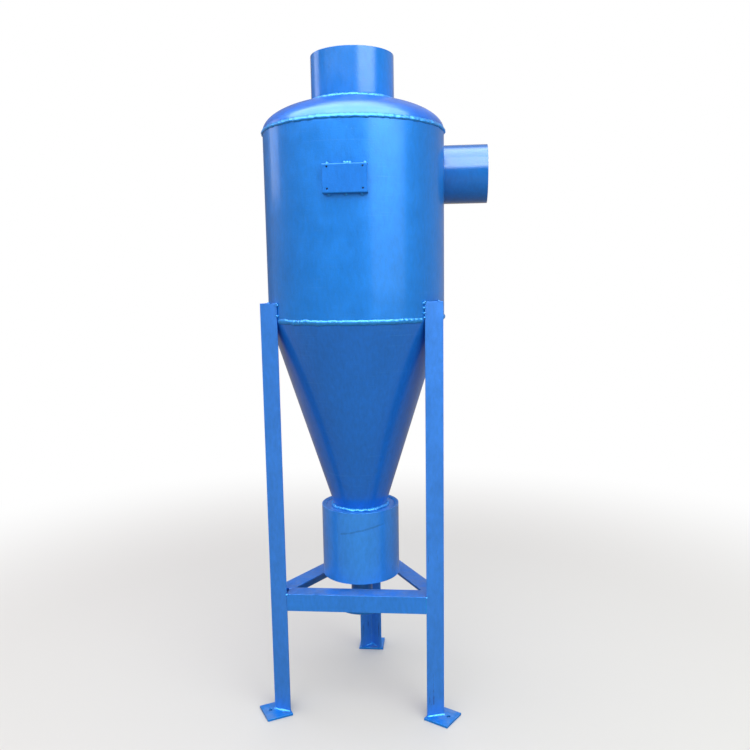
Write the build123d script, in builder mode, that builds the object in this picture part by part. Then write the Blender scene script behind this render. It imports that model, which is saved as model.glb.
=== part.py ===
from build123d import *
import os
from math import cos, radians, sin, sqrt

os.makedirs("parts", exist_ok=True)

# A welded steel cyclone separator on three angle-iron legs, in millimetres.
# The origin is on the floor under the vessel's axis, +Z is up and -Y is the side with the nameplate bracket.
# Gas enters the shell through the side duct towards +X, spins down the cone and leaves through the top pipe.

# Gap left at a joint where curved or mitred pieces meet, which the weld covers
fit_gap = 0.3
overrun = 20

# Dust pot under the cone: a length of pipe closed by a plate at each end
pot_radius = 136.5
pot_wall = 6
pot_bottom = 461
pot_height = 254
pot_cover_inset = 4
pot_plate_thickness = 8

# Cone
cone_foot_radius = 92
cone_height = 662
cone_wall = 5

# Cylindrical shell
shell_radius = 300
shell_wall = 6
shell_height = 605

# Dished head: an ellipse over a short straight skirt
head_skirt = 6
head_rise = 104
head_wall = 6

# Outlet pipe, which carries on down inside the shell as the vortex finder
outlet_radius = 136.5
outlet_wall = 6
outlet_above_seam = 246
finder_below_inlet = 30

# Inlet duct, rolled from thin plate and set tangentially behind the axis
inlet_bore_radius = 97
inlet_wall = 3
inlet_inset = 19
inlet_mouth_margin = 1
inlet_below_seam = 114
inlet_reach = 451

# Drain pipe and its slip-on flange
drain_radius = 38
drain_wall = 4
drain_face_height = 330
flange_radius = 92.5
flange_thickness = 18
flange_chamfer = 1
flange_pitch_radius = 72.5
flange_hole_radius = 9
flange_holes = 4
flange_lip = 6

# Rolled equal angle, used for the legs and the braces
angle_width = 60
angle_thickness = 6
angle_root = 6
angle_toe = 3
leg_lap = 58
brace_top = 442

# Foot plates; the two at the front are set a little forwards on their legs
foot_width = 98
foot_depth = 91
foot_thickness = 8
foot_inner_margin = 0.5
foot_aside = 7
anchor_inset = 27
anchor_hole_radius = 7

# Nameplate bracket, bent from sheet
bracket_width = 136
bracket_height = 88
bracket_aside = 7
bracket_standoff = 15
bracket_sheet = 3
bracket_bend = 4
bracket_below_seam = 176
nameplate_spacing_x = 108
nameplate_spacing_z = 64
nameplate_hole_radius = 3
nameplate_rise = 2

# Weld beads: the radius of the round bead laid in each joint
outlet_bead = 9
head_bead = 5
head_bead_proud = 3.5
cone_bead = 7
cone_bead_proud = 5
cone_foot_bead = 8
pot_bead = 6
inlet_bead = 5
drain_bead = 6
leg_bead = 5
leg_bead_margin = 4
foot_bead = 4
foot_bead_edge = 0.5

# Heights that follow from the stack of pieces
pot_top = pot_bottom + pot_height
cover_top = pot_top - pot_cover_inset
cone_seam = cover_top + cone_height
head_seam = cone_seam + shell_height
head_spring = head_seam + head_skirt
outlet_top = head_seam + outlet_above_seam
inlet_height = head_seam - inlet_below_seam
inlet_radius = inlet_bore_radius + inlet_wall
finder_bottom = inlet_height - inlet_radius - finder_below_inlet
leg_top = cone_seam + leg_lap

# Directions around the axis, in degrees: the legs a third of a turn apart and the braces between them
leg_sides = ("back", "left", "right")
brace_sides = ("left", "front", "right")
leg_spacing_angle = 360 / len(leg_sides)
leg_azimuths = {side: 90 + place * leg_spacing_angle for place, side in enumerate(leg_sides)}
brace_azimuths = {side: 90 + (place + 0.5) * leg_spacing_angle for place, side in enumerate(brace_sides)}

# The duct's bore runs near the inside of the shell
shell_bore_radius = shell_radius - shell_wall
inlet_offset = shell_bore_radius - inlet_bore_radius - inlet_inset
duct_plane = Plane(origin=(0, inlet_offset, inlet_height), x_dir=(0, 1, 0), z_dir=(1, 0, 0))

# The rounded toes of each leg bear on the shell, and that places its heel
toe_out = (angle_width + angle_thickness - 2 * angle_toe) / sqrt(2)
toe_side = (angle_width - angle_thickness) / sqrt(2)
toe_reach = sqrt((shell_radius + angle_toe + fit_gap) ** 2 - toe_side**2)
leg_heel = toe_reach + toe_out


def outward(azimuth):
    """The horizontal direction away from the vessel's axis at an azimuth in degrees."""
    return Vector(cos(radians(azimuth)), sin(radians(azimuth)), 0)


def finish(piece, name):
    """Label a piece and write its file."""
    piece.part.label = name
    export_step(piece.part, f"parts/{name}.step")


def angle_profile():
    """The rolled angle in section: heel at the origin, flanges along X and Y."""
    with BuildSketch() as profile:
        with BuildLine():
            Polyline(
                (0, 0),
                (angle_width, 0),
                (angle_width, angle_thickness),
                (angle_thickness, angle_thickness),
                (angle_thickness, angle_width),
                (0, angle_width),
                close=True,
            )
        make_face()
        corners = profile.vertices()
        fillet(corners.sort_by_distance((angle_thickness, angle_thickness))[0], radius=angle_root)
        toes = [(angle_width, angle_thickness), (angle_thickness, angle_width)]
        for toe in toes:
            fillet(profile.vertices().sort_by_distance(toe)[0], radius=angle_toe)
    return profile.sketch


def half_section(*points):
    """Half the section of a turned piece from its corners: distance from the axis, height."""
    with BuildSketch() as section:
        with BuildLine():
            Polyline(*points, close=True)
        make_face()
    return section.sketch


def block_section(inner, outer, bottom, top):
    """Half the section of a turned piece with straight sides."""
    return half_section((inner, bottom), (outer, bottom), (outer, top), (inner, top))


def bead_ring(centre_radius, centre_height, bead, joined):
    """A round weld bead laid around the axis, its section cut to the pieces that it joins."""
    with BuildPart() as ring:
        with BuildSketch(Plane.XZ):
            with Locations((centre_radius, centre_height)):
                Circle(bead)
            for section in joined:
                add(section, mode=Mode.SUBTRACT)
        revolve(axis=Axis.Z)
    return ring


# Outlet pipe: one length from the open top through the head to the vortex finder's mouth
with BuildPart() as outlet_pipe:
    with BuildSketch(Plane.XZ):
        add(block_section(outlet_radius - outlet_wall, outlet_radius, finder_bottom, outlet_top))
    revolve(axis=Axis.Z)
finish(outlet_pipe, "outlet_pipe")


def dish_section(radius, rise, pierced):
    """Half the section of the space under an elliptical dish, outside the pipe that pierces it."""
    with BuildSketch() as section:
        with BuildLine():
            dish = EllipticalCenterArc((0, head_spring), radius, rise, start_angle=0, arc_size=90)
            Polyline(dish @ 1, (0, head_seam), (radius, head_seam), dish @ 0)
        make_face()
        with Locations((pierced, head_seam)):
            Rectangle(radius, head_skirt + rise, align=(Align.MAX, Align.MIN), mode=Mode.SUBTRACT)
    return section.sketch


# Dished head, pierced for the outlet pipe
with BuildPart() as top_head:
    with BuildSketch(Plane.XZ):
        add(dish_section(shell_radius, head_rise, outlet_radius + fit_gap))
        add(dish_section(shell_radius - head_wall, head_rise - head_wall, 0), mode=Mode.SUBTRACT)
    revolve(axis=Axis.Z)
finish(top_head, "top_head")

# Shell, with the duct's mouth cut through the wall on the +X side
with BuildPart() as shell:
    with BuildSketch(Plane.XZ):
        add(block_section(shell_bore_radius, shell_radius, cone_seam, head_seam))
    revolve(axis=Axis.Z)
    with BuildSketch(duct_plane):
        Circle(inlet_bore_radius + inlet_mouth_margin)
    extrude(amount=shell_radius + overrun, mode=Mode.SUBTRACT)
finish(shell, "shell")

# Cone, from the shell's lower edge down to the pot's cover plate
cone_slope = (shell_radius - cone_foot_radius) / cone_height
wall_across = cone_wall * sqrt(1 + cone_slope**2)
with BuildPart() as cone:
    with BuildSketch(Plane.XZ):
        add(
            half_section(
                (cone_foot_radius - wall_across, cover_top),
                (cone_foot_radius, cover_top),
                (shell_radius, cone_seam),
                (shell_radius - wall_across, cone_seam),
            )
        )
    revolve(axis=Axis.Z)
finish(cone, "cone")

# Inlet duct, its end cut to the saddle of the shell
with BuildPart() as inlet_pipe:
    with BuildSketch(duct_plane):
        Circle(inlet_radius)
        Circle(inlet_bore_radius, mode=Mode.SUBTRACT)
    extrude(amount=inlet_reach)
    with BuildSketch(Plane.XY.offset(inlet_height - inlet_radius - overrun)):
        Circle(shell_radius + fit_gap)
    extrude(amount=2 * (inlet_radius + overrun), mode=Mode.SUBTRACT)
finish(inlet_pipe, "inlet_pipe")

# Dust pot: the pipe, its cover plate let into the top and its bottom plate let into the lower end
pot_bore_radius = pot_radius - pot_wall
with BuildPart() as pot_shell:
    with BuildSketch(Plane.XZ):
        add(block_section(pot_bore_radius, pot_radius, pot_bottom, pot_top))
    revolve(axis=Axis.Z)
finish(pot_shell, "pot_shell")

plate_radius = pot_bore_radius - fit_gap
cover_hole_radius = cone_foot_radius - wall_across
with BuildPart() as pot_cover:
    with BuildSketch(Plane.XY.offset(cover_top - pot_plate_thickness)):
        Circle(plate_radius)
        Circle(cover_hole_radius, mode=Mode.SUBTRACT)
    extrude(amount=pot_plate_thickness)
finish(pot_cover, "pot_cover")

bottom_plate_height = pot_bottom + pot_cover_inset
with BuildPart() as pot_bottom_plate:
    with BuildSketch(Plane.XY.offset(bottom_plate_height)):
        Circle(plate_radius)
        Circle(drain_radius + fit_gap, mode=Mode.SUBTRACT)
    extrude(amount=pot_plate_thickness)
finish(pot_bottom_plate, "pot_bottom_plate")

# Drain pipe, flush with the inside of the pot and set back inside the flange
drain_end = drain_face_height + flange_lip
drain_top = bottom_plate_height + pot_plate_thickness
with BuildPart() as drain_pipe:
    with BuildSketch(Plane.XZ):
        add(block_section(drain_radius - drain_wall, drain_radius, drain_end, drain_top))
    revolve(axis=Axis.Z)
finish(drain_pipe, "drain_pipe")

with BuildPart() as drain_flange:
    with BuildSketch(Plane.XY.offset(drain_face_height)):
        Circle(flange_radius)
        Circle(drain_radius + fit_gap, mode=Mode.SUBTRACT)
    extrude(amount=flange_thickness)
    rims = drain_flange.edges().filter_by(GeomType.CIRCLE).sort_by(SortBy.RADIUS)[-2:]
    chamfer(rims, length=flange_chamfer)
    with BuildSketch(Plane.XY.offset(drain_face_height)):
        with PolarLocations(flange_pitch_radius, flange_holes, start_angle=180 / flange_holes):
            Circle(flange_hole_radius)
    extrude(amount=flange_thickness, mode=Mode.SUBTRACT)
finish(drain_flange, "drain_flange")


def leg_plane(azimuth, height):
    """The plane of a leg's section: origin at the heel, flanges along X and Y towards the vessel."""
    place = outward(azimuth) * leg_heel
    along = outward(azimuth + 180 - 45)
    return Plane(origin=(place.X, place.Y, height), x_dir=along, z_dir=(0, 0, 1))


# Three legs, standing on their foot plates with the toes against the shell
for side, azimuth in leg_azimuths.items():
    with BuildPart() as leg:
        with BuildSketch(leg_plane(azimuth, foot_thickness)):
            add(angle_profile())
        extrude(amount=leg_top - foot_thickness)
    finish(leg, f"leg_{side}")

# Three braces between the legs, one flange down on the outside and one flat on top, mitred where they meet
flange_tip_out = leg_heel - angle_width / sqrt(2)
flange_tip_side = angle_width / sqrt(2)
half_spread = radians(leg_spacing_angle / 2)
brace_out = flange_tip_out * cos(half_spread) + flange_tip_side * sin(half_spread)
brace_half = toe_reach * sin(half_spread) - toe_side * cos(half_spread) - angle_toe - fit_gap
mitre_turn = 90 - leg_spacing_angle / 2
for side, azimuth in brace_azimuths.items():
    facing = outward(azimuth)
    along = outward(azimuth + 90)
    start = facing * brace_out - along * brace_half
    with BuildPart() as brace:
        with BuildSketch(Plane(origin=(start.X, start.Y, brace_top), x_dir=(0, 0, -1), z_dir=along)):
            add(angle_profile())
        extrude(amount=2 * brace_half)
        for normal_azimuth in (azimuth + mitre_turn, azimuth - mitre_turn):
            normal = outward(normal_azimuth)
            split(bisect_by=Plane(origin=normal * (fit_gap / 2), z_dir=normal), keep=Keep.TOP)
    finish(brace, f"brace_{side}")

# Foot plates, set out from the legs, with one anchor hole each in line with the leg
foot_inner = leg_heel - (angle_width + angle_thickness) / sqrt(2) - foot_inner_margin
anchor_radius = foot_inner + foot_depth - anchor_inset
foot_shifts = {"back": 0, "left": foot_aside, "right": -foot_aside}
for side, azimuth in leg_azimuths.items():
    with BuildPart() as foot:
        with BuildSketch(Plane(origin=(0, 0, 0), x_dir=outward(azimuth), z_dir=(0, 0, 1))):
            with Locations((foot_inner, foot_shifts[side])):
                Rectangle(foot_depth, foot_width, align=(Align.MIN, Align.CENTER))
            with Locations((anchor_radius, 0)):
                Circle(anchor_hole_radius, mode=Mode.SUBTRACT)
        extrude(amount=foot_thickness)
    finish(foot, f"foot_{side}")

# Nameplate bracket: a sheet with its upper and lower edges bent back and trimmed to the shell
bracket_bottom = head_seam - bracket_below_seam - bracket_height / 2
bracket_front = shell_radius + bracket_standoff
bracket_left = bracket_aside - bracket_width / 2
bracket_right = bracket_aside + bracket_width / 2
bracket_depth = bracket_front - sqrt(shell_radius**2 - bracket_right**2) + bracket_sheet
with BuildPart() as nameplate_bracket:
    corner = Plane(origin=(bracket_left, -bracket_front, bracket_bottom), x_dir=(0, 1, 0), z_dir=(1, 0, 0))
    with BuildSketch(corner) as channel:
        Rectangle(bracket_depth, bracket_height, align=(Align.MIN, Align.MIN))
        fillet(channel.vertices().group_by(Axis.X)[0], radius=bracket_bend)
        offset(amount=-bracket_sheet, mode=Mode.SUBTRACT)
        with Locations((bracket_depth, bracket_sheet)):
            Rectangle(
                2 * bracket_sheet,
                bracket_height - 2 * bracket_sheet,
                align=(Align.MAX, Align.MIN),
                mode=Mode.SUBTRACT,
            )
    extrude(amount=bracket_width)
    with BuildSketch(Plane.XY.offset(bracket_bottom - overrun)):
        Circle(shell_radius + fit_gap)
    extrude(amount=bracket_height + 2 * overrun, mode=Mode.SUBTRACT)
    hole_centre = bracket_bottom + bracket_height / 2 + nameplate_rise
    front = Plane(origin=(bracket_aside, -bracket_front, hole_centre), x_dir=(1, 0, 0), z_dir=(0, -1, 0))
    with BuildSketch(front):
        with GridLocations(nameplate_spacing_x, nameplate_spacing_z, 2, 2):
            Circle(nameplate_hole_radius)
    extrude(amount=-bracket_sheet, mode=Mode.SUBTRACT)
finish(nameplate_bracket, "nameplate_bracket")

# Ring beads, each cut to the pieces that it joins
whole_dish = dish_section(shell_radius, head_rise, 0)
outlet_joint = head_spring + head_rise * sqrt(1 - (outlet_radius / shell_radius) ** 2)
outlet_section = block_section(0, outlet_radius, head_seam, outlet_top)
outlet_weld = bead_ring(outlet_radius, outlet_joint, outlet_bead, [whole_dish, outlet_section])
finish(outlet_weld, "outlet_weld")

vessel_section = half_section(
    (0, cover_top),
    (cone_foot_radius, cover_top),
    (shell_radius, cone_seam),
    (shell_radius, head_spring),
    (0, head_spring),
)
head_bead_radius = shell_radius + head_bead_proud - head_bead
head_weld = bead_ring(head_bead_radius, head_seam + head_bead, head_bead, [vessel_section, whole_dish])
finish(head_weld, "head_weld")

# the cone's bead stops at both toes of each leg
cone_bead_radius = shell_radius + cone_bead_proud - cone_bead
with BuildPart() as cone_weld:
    add(bead_ring(cone_bead_radius, cone_seam, cone_bead, [vessel_section]).part)
    with BuildSketch(Plane.XY.offset(cone_seam - 2 * cone_bead)):
        for azimuth in leg_azimuths.values():
            for half in (-1, 1):
                toe = outward(azimuth) * toe_reach + outward(azimuth + 90) * (toe_side * half)
                with Locations((toe.X, toe.Y)):
                    Circle(angle_thickness + angle_toe)
    extrude(amount=4 * cone_bead, mode=Mode.SUBTRACT)
finish(cone_weld, "cone_weld")

cover_section = block_section(0, pot_radius, pot_bottom, cover_top)
cone_foot_weld = bead_ring(cone_foot_radius, cover_top, cone_foot_bead, [vessel_section, cover_section])
finish(cone_foot_weld, "cone_foot_weld")

pot_section = block_section(pot_bore_radius, pot_radius, pot_bottom, pot_top)
above_pot = block_section(0, pot_radius, pot_top, pot_top + pot_bead)
pot_rim_weld = bead_ring(pot_bore_radius, cover_top, pot_bead, [cover_section, pot_section, above_pot])
finish(pot_rim_weld, "pot_rim_weld")

bottom_section = block_section(0, pot_bore_radius, bottom_plate_height, pot_top)
drain_section = block_section(0, drain_radius, drain_face_height, pot_top)
drain_weld = bead_ring(drain_radius, bottom_plate_height, drain_bead, [bottom_section, drain_section])
finish(drain_weld, "drain_weld")

flange_top = drain_face_height + flange_thickness
flange_section = block_section(0, flange_radius, drain_face_height, flange_top)
flange_weld = bead_ring(drain_radius, flange_top, drain_bead, [flange_section, drain_section])
finish(flange_weld, "flange_weld")

# Saddle bead where the duct meets the shell
with BuildPart() as inlet_weld:
    with BuildSketch(duct_plane):
        Circle(inlet_radius + inlet_bead)
        Circle(inlet_radius, mode=Mode.SUBTRACT)
    extrude(amount=shell_radius + inlet_bead)
    with BuildSketch(Plane.XY.offset(inlet_height - inlet_radius - overrun)):
        Circle(shell_radius + inlet_bead)
        Circle(shell_radius, mode=Mode.SUBTRACT)
    extrude(amount=2 * (inlet_radius + overrun), mode=Mode.INTERSECT)
finish(inlet_weld, "inlet_weld")

# Beads down both toes of each leg, where they lie against the shell
for side, azimuth in leg_azimuths.items():
    with BuildPart() as leg_weld:
        with BuildSketch(leg_plane(azimuth, cone_seam + cone_bead + leg_bead_margin)):
            with Locations((angle_width, angle_thickness / 2), (angle_thickness / 2, angle_width)):
                Circle(leg_bead)
            Rectangle(angle_width, angle_width, align=(Align.MIN, Align.MIN), mode=Mode.SUBTRACT)
            with Locations((leg_heel / sqrt(2), leg_heel / sqrt(2))):
                Circle(shell_radius, mode=Mode.SUBTRACT)
        extrude(amount=leg_lap - cone_bead - 2 * leg_bead_margin)
    finish(leg_weld, f"leg_weld_{side}")


def foot_bead_points(standoff):
    """An L-shaped outline along the outer faces of a leg."""
    return [
        (0, 0),
        (angle_width, 0),
        (angle_width, -standoff),
        (-standoff, -standoff),
        (-standoff, angle_width),
        (0, angle_width),
    ]


# Fillet welds along the outside of each leg on its foot plate
for side, azimuth in leg_azimuths.items():
    with BuildPart() as foot_weld:
        for rise, standoff in ((0, foot_bead), (foot_bead, foot_bead_edge)):
            with BuildSketch(leg_plane(azimuth, foot_thickness + rise)):
                with BuildLine():
                    Polyline(*foot_bead_points(standoff), close=True)
                make_face()
        loft(ruled=True)
    finish(foot_weld, f"foot_weld_{side}")
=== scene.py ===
from math import cos, pi, radians, sin, sqrt

import bmesh
import bpy
import numpy as np
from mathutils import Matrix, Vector


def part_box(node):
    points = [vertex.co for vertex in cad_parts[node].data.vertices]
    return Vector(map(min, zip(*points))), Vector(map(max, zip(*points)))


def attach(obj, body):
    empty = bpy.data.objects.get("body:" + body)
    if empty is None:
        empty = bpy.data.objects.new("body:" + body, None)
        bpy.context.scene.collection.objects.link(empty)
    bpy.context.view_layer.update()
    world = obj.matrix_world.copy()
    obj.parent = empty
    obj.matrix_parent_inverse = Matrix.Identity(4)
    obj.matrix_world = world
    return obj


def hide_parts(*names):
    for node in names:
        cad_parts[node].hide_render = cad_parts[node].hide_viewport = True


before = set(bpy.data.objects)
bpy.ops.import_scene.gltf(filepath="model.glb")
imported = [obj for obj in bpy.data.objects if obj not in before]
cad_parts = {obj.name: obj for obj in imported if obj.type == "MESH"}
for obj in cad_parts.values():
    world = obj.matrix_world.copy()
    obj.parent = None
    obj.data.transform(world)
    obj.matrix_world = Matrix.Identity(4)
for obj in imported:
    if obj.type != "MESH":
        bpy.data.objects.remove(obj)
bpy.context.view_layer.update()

# Viewpoint: a standing person's eye, a little to the right of the nameplate bracket and looking slightly
# down, in a square frame of 750 by 750 pixels. The small shift is what the photograph's framing needs.
eye = (0.29661, -2.62720, 1.51154)
eye_tilt, eye_roll, eye_turn = 81.2561, 0.8991, 5.1229
film_width, focal_length, shift_right, shift_up = 36, 36.6412, 0.00153, 0.02551
viewpoint = bpy.data.objects.new("viewpoint", bpy.data.cameras.new("viewpoint"))
viewpoint.location = eye
viewpoint.rotation_euler = (radians(eye_tilt), radians(eye_roll), radians(eye_turn))
viewpoint.data.sensor_width = film_width
viewpoint.data.lens = focal_length
viewpoint.data.shift_x = shift_right
viewpoint.data.shift_y = shift_up
bpy.context.scene.collection.objects.link(viewpoint)
bpy.context.scene.camera = viewpoint
bpy.context.scene.view_settings.view_transform = "Standard"


# Studio floor: a wide, pale disc of sealed concrete. Towards its rim it turns into the white backdrop, of
# which reflections see a share, so that no edge shows from any side. Near the feet it keeps the shadow.
def add_node(tree, kind, **settings):
    """Add a node to a tree and set its plain settings."""
    made = tree.nodes.new(kind)
    for name, value in settings.items():
        setattr(made, name, value)
    return made


def wire(tree, *sockets):
    """Join output sockets to input sockets, given by turns."""
    for start, end in zip(sockets[::2], sockets[1::2]):
        tree.links.new(start, end)


def calc(tree, operation, *values, clamp=False):
    """A Math node on sockets or numbers."""
    made = add_node(tree, "ShaderNodeMath", operation=operation, use_clamp=clamp)
    for socket, value in zip(made.inputs, values):
        if isinstance(value, (int, float)):
            socket.default_value = value
        else:
            wire(tree, value, socket)
    return made.outputs[0]


def spread(tree, value, low, high, to_low=0.0, to_high=1.0):
    """Spread one range of a value over another, held to its ends and eased at both."""
    made = add_node(tree, "ShaderNodeMapRange", interpolation_type="SMOOTHSTEP")
    ends = (("From Min", low), ("From Max", high), ("To Min", to_low), ("To Max", to_high))
    for socket, number in ends:
        made.inputs[socket].default_value = number
    wire(tree, value, made.inputs["Value"])
    return made.outputs["Result"]


def solid_piece(name, points, faces):
    """A new smooth mesh object at the origin, with its faces turned outwards."""
    mesh = bpy.data.meshes.new(name)
    mesh.from_pydata(np.asarray(points).tolist(), [], faces)
    shape = bmesh.new()
    shape.from_mesh(mesh)
    bmesh.ops.recalc_face_normals(shape, faces=shape.faces)
    shape.to_mesh(mesh)
    shape.free()
    mesh.shade_smooth()
    piece = bpy.data.objects.new(name, mesh)
    bpy.context.scene.collection.objects.link(piece)
    return piece


floor_radius, floor_points = 9.0, 128
fade_start, fade_end, backdrop_share = 1.5, 3.5, 0.12
seen_tone, bounced_tone = (0.80, 0.74, 0.68, 1), (0.29, 0.23, 0.14, 1)
floor_turns = np.linspace(0, 2 * pi, floor_points, endpoint=False)
floor_ring = np.c_[np.cos(floor_turns), np.sin(floor_turns), np.zeros(floor_points)] * floor_radius
floor = solid_piece("studio_floor", floor_ring, [tuple(range(floor_points))])
concrete = bpy.data.materials.new("sealed_concrete")
concrete.use_nodes = True
tree = concrete.node_tree
tree.nodes.clear()
rays = add_node(tree, "ShaderNodeLightPath")
seen = calc(tree, "ADD", rays.outputs["Is Camera Ray"], rays.outputs["Is Transmission Ray"], clamp=True)
white_part = calc(tree, "ADD", seen, calc(tree, "MULTIPLY", rays.outputs["Is Glossy Ray"], backdrop_share),
                  clamp=True)
distance = add_node(tree, "ShaderNodeVectorMath", operation="LENGTH")
tone = add_node(tree, "ShaderNodeMix", data_type="RGBA")
tone.inputs["A"].default_value = bounced_tone
tone.inputs["B"].default_value = seen_tone
matt = add_node(tree, "ShaderNodeBsdfDiffuse")
backdrop = add_node(tree, "ShaderNodeEmission")
blend = add_node(tree, "ShaderNodeMixShader")
wire(tree, add_node(tree, "ShaderNodeTexCoord").outputs["Object"], distance.inputs[0],
     seen, tone.inputs["Factor"], tone.outputs["Result"], matt.inputs["Color"],
     calc(tree, "MULTIPLY", spread(tree, distance.outputs["Value"], fade_start, fade_end), white_part),
     blend.inputs["Fac"], matt.outputs[0], blend.inputs[1], backdrop.outputs[0], blend.inputs[2],
     blend.outputs[0], add_node(tree, "ShaderNodeOutputMaterial").inputs["Surface"])
floor.data.materials.append(concrete)


# Studio light: an even sky, white to the camera, and four large soft panels. Reflections see the white in
# part, over a sky that is dim up to a yard's trees and walls and bright above. The bright part starts lowest
# at the front right, for the shell's pale band, and shows in first reflections only.
def off_axis(tree, flat, azimuth, edge, full):
    """How well a level direction agrees with an azimuth, from 0 at one cosine to 1 at another."""
    agree = add_node(tree, "ShaderNodeVectorMath", operation="DOT_PRODUCT")
    agree.inputs[1].default_value = (cos(radians(azimuth)), sin(radians(azimuth)), 0)
    wire(tree, flat, agree.inputs[0])
    return spread(tree, agree.outputs["Value"], edge, full)


horizon_tone, zenith_tone = (0.84, 0.86, 0.92, 1), (0.86, 0.92, 1.0, 1)
mirrored_ground_tone, mirrored_sky_tone = (0.24, 0.24, 0.26, 1), (0.74, 0.90, 1.0, 1)
sky_strength, mirrored_strength = 0.96, 7.8
# In the nodes of the world, a first reflection has a ray depth of 2.
first_reflection_limit = 2.5
tone_low, tone_high = -0.1, 0.9
skyline, sky_fade, building_rise, gap_drop, wall_dark = 0.20, 0.25, 0.58, 0.11, 0.90
# Each of these has its azimuth, and the cosines where it begins and where it is full.
building, gap, wall_corner, facade = (85, -0.48, 0.58), (-37, 0.74, 0.94), (116, 0.84, 0.95), (85, 0.0, 0.6)
facade_low, facade_high, facade_light = 0.15, 0.35, 0.6
world = bpy.data.worlds.new("studio_sky")
bpy.context.scene.world = world
world.use_nodes = True
tree = world.node_tree
tree.nodes.clear()
rays = add_node(tree, "ShaderNodeLightPath")
shiny = calc(tree, "MULTIPLY", rays.outputs["Is Glossy Ray"],
             calc(tree, "LESS_THAN", rays.outputs["Ray Depth"], first_reflection_limit))
part = add_node(tree, "ShaderNodeSeparateXYZ")
level = add_node(tree, "ShaderNodeVectorMath", operation="MULTIPLY")
level.inputs[1].default_value = (1, 1, 0)
flat = add_node(tree, "ShaderNodeVectorMath", operation="NORMALIZE")
towards = add_node(tree, "ShaderNodeTexCoord").outputs["Generated"]
wire(tree, towards, part.inputs[0], towards, level.inputs[0], level.outputs[0], flat.inputs[0])
tone = add_node(tree, "ShaderNodeMix", data_type="RGBA")
tone.inputs["A"].default_value = horizon_tone
tone.inputs["B"].default_value = zenith_tone
mirrored_tone = add_node(tree, "ShaderNodeMix", data_type="RGBA")
mirrored_tone.inputs["A"].default_value = mirrored_ground_tone
mirrored_tone.inputs["B"].default_value = mirrored_sky_tone
sky_tone = add_node(tree, "ShaderNodeMix", data_type="RGBA")
rise = calc(tree, "MULTIPLY", off_axis(tree, flat.outputs[0], *building), building_rise)
drop = calc(tree, "MULTIPLY", off_axis(tree, flat.outputs[0], *gap), -gap_drop)
above = calc(tree, "SUBTRACT", calc(tree, "SUBTRACT", part.outputs["Z"], skyline),
             calc(tree, "ADD", rise, drop))
overhead = calc(tree, "MULTIPLY", spread(tree, above, 0.0, sky_fade), shiny)
dark = calc(tree, "MULTIPLY", off_axis(tree, flat.outputs[0], *wall_corner), wall_dark)
dark = calc(tree, "MULTIPLY", dark, shiny)
lit = calc(tree, "MULTIPLY", off_axis(tree, flat.outputs[0], *facade),
           spread(tree, part.outputs["Z"], facade_low, facade_high, 0.0, facade_light))
lit = calc(tree, "MULTIPLY", lit, shiny)
even = calc(tree, "ADD", calc(tree, "SUBTRACT", 1.0, dark), lit)
even = calc(tree, "MULTIPLY", even, sky_strength)
soft_sky = add_node(tree, "ShaderNodeBackground")
white = add_node(tree, "ShaderNodeBackground")
white.inputs["Color"].default_value = (1, 1, 1, 1)
blend = add_node(tree, "ShaderNodeMixShader")
seen = calc(tree, "ADD", rays.outputs["Is Camera Ray"], rays.outputs["Is Transmission Ray"], clamp=True)
white_part = calc(tree, "ADD", seen, calc(tree, "MULTIPLY", shiny, backdrop_share), clamp=True)
wire(tree, spread(tree, part.outputs["Z"], tone_low, tone_high), tone.inputs["Factor"],
     overhead, mirrored_tone.inputs["Factor"], shiny, sky_tone.inputs["Factor"],
     tone.outputs["Result"], sky_tone.inputs["A"], mirrored_tone.outputs["Result"], sky_tone.inputs["B"],
     sky_tone.outputs["Result"], soft_sky.inputs["Color"],
     calc(tree, "ADD", calc(tree, "MULTIPLY", overhead, mirrored_strength), even),
     soft_sky.inputs["Strength"], white_part, blend.inputs["Fac"], soft_sky.outputs[0], blend.inputs[1],
     white.outputs[0], blend.inputs[2],
     blend.outputs[0], add_node(tree, "ShaderNodeOutputWorld").inputs["Surface"])


def soft_panel(name, azimuth, distance, height, aim_height, width, tall, radiance, colour, mirrored=True):
    """A softbox at an azimuth round the vessel, turned to its axis; a radiance of 1 shows as white."""
    panel = bpy.data.objects.new(name, bpy.data.lights.new(name, "AREA"))
    panel.data.shape = "RECTANGLE"
    panel.data.size, panel.data.size_y = width, tall
    panel.data.energy, panel.data.color = radiance * pi * width * tall, colour
    place = Vector((distance * cos(radians(azimuth)), distance * sin(radians(azimuth)), height))
    panel.location = place
    panel.rotation_euler = (Vector((0, 0, aim_height)) - place).to_track_quat("-Z", "Y").to_euler()
    panel.visible_camera, panel.visible_glossy = False, mirrored
    bpy.context.scene.collection.objects.link(panel)


soft_panel("sky_panel", azimuth=-80, distance=3.0, height=4.8, aim_height=1.4, width=5.0, tall=3.0,
           radiance=1.7, colour=(0.95, 0.98, 1.0))
soft_panel("right_panel", azimuth=-43, distance=4.2, height=2.7, aim_height=1.4, width=3.6, tall=3.0,
           radiance=1.1, colour=(0.76, 1.0, 0.95))
soft_panel("left_panel", azimuth=163, distance=3.5, height=2.9, aim_height=1.9, width=1.3, tall=1.6,
           radiance=1.5, colour=(0.90, 0.92, 1.0))
soft_panel("low_panel", azimuth=-92, distance=3.8, height=0.65, aim_height=0.5, width=5.5, tall=1.1,
           radiance=1.2, colour=(0.92, 0.96, 1.0), mirrored=False)


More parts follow.
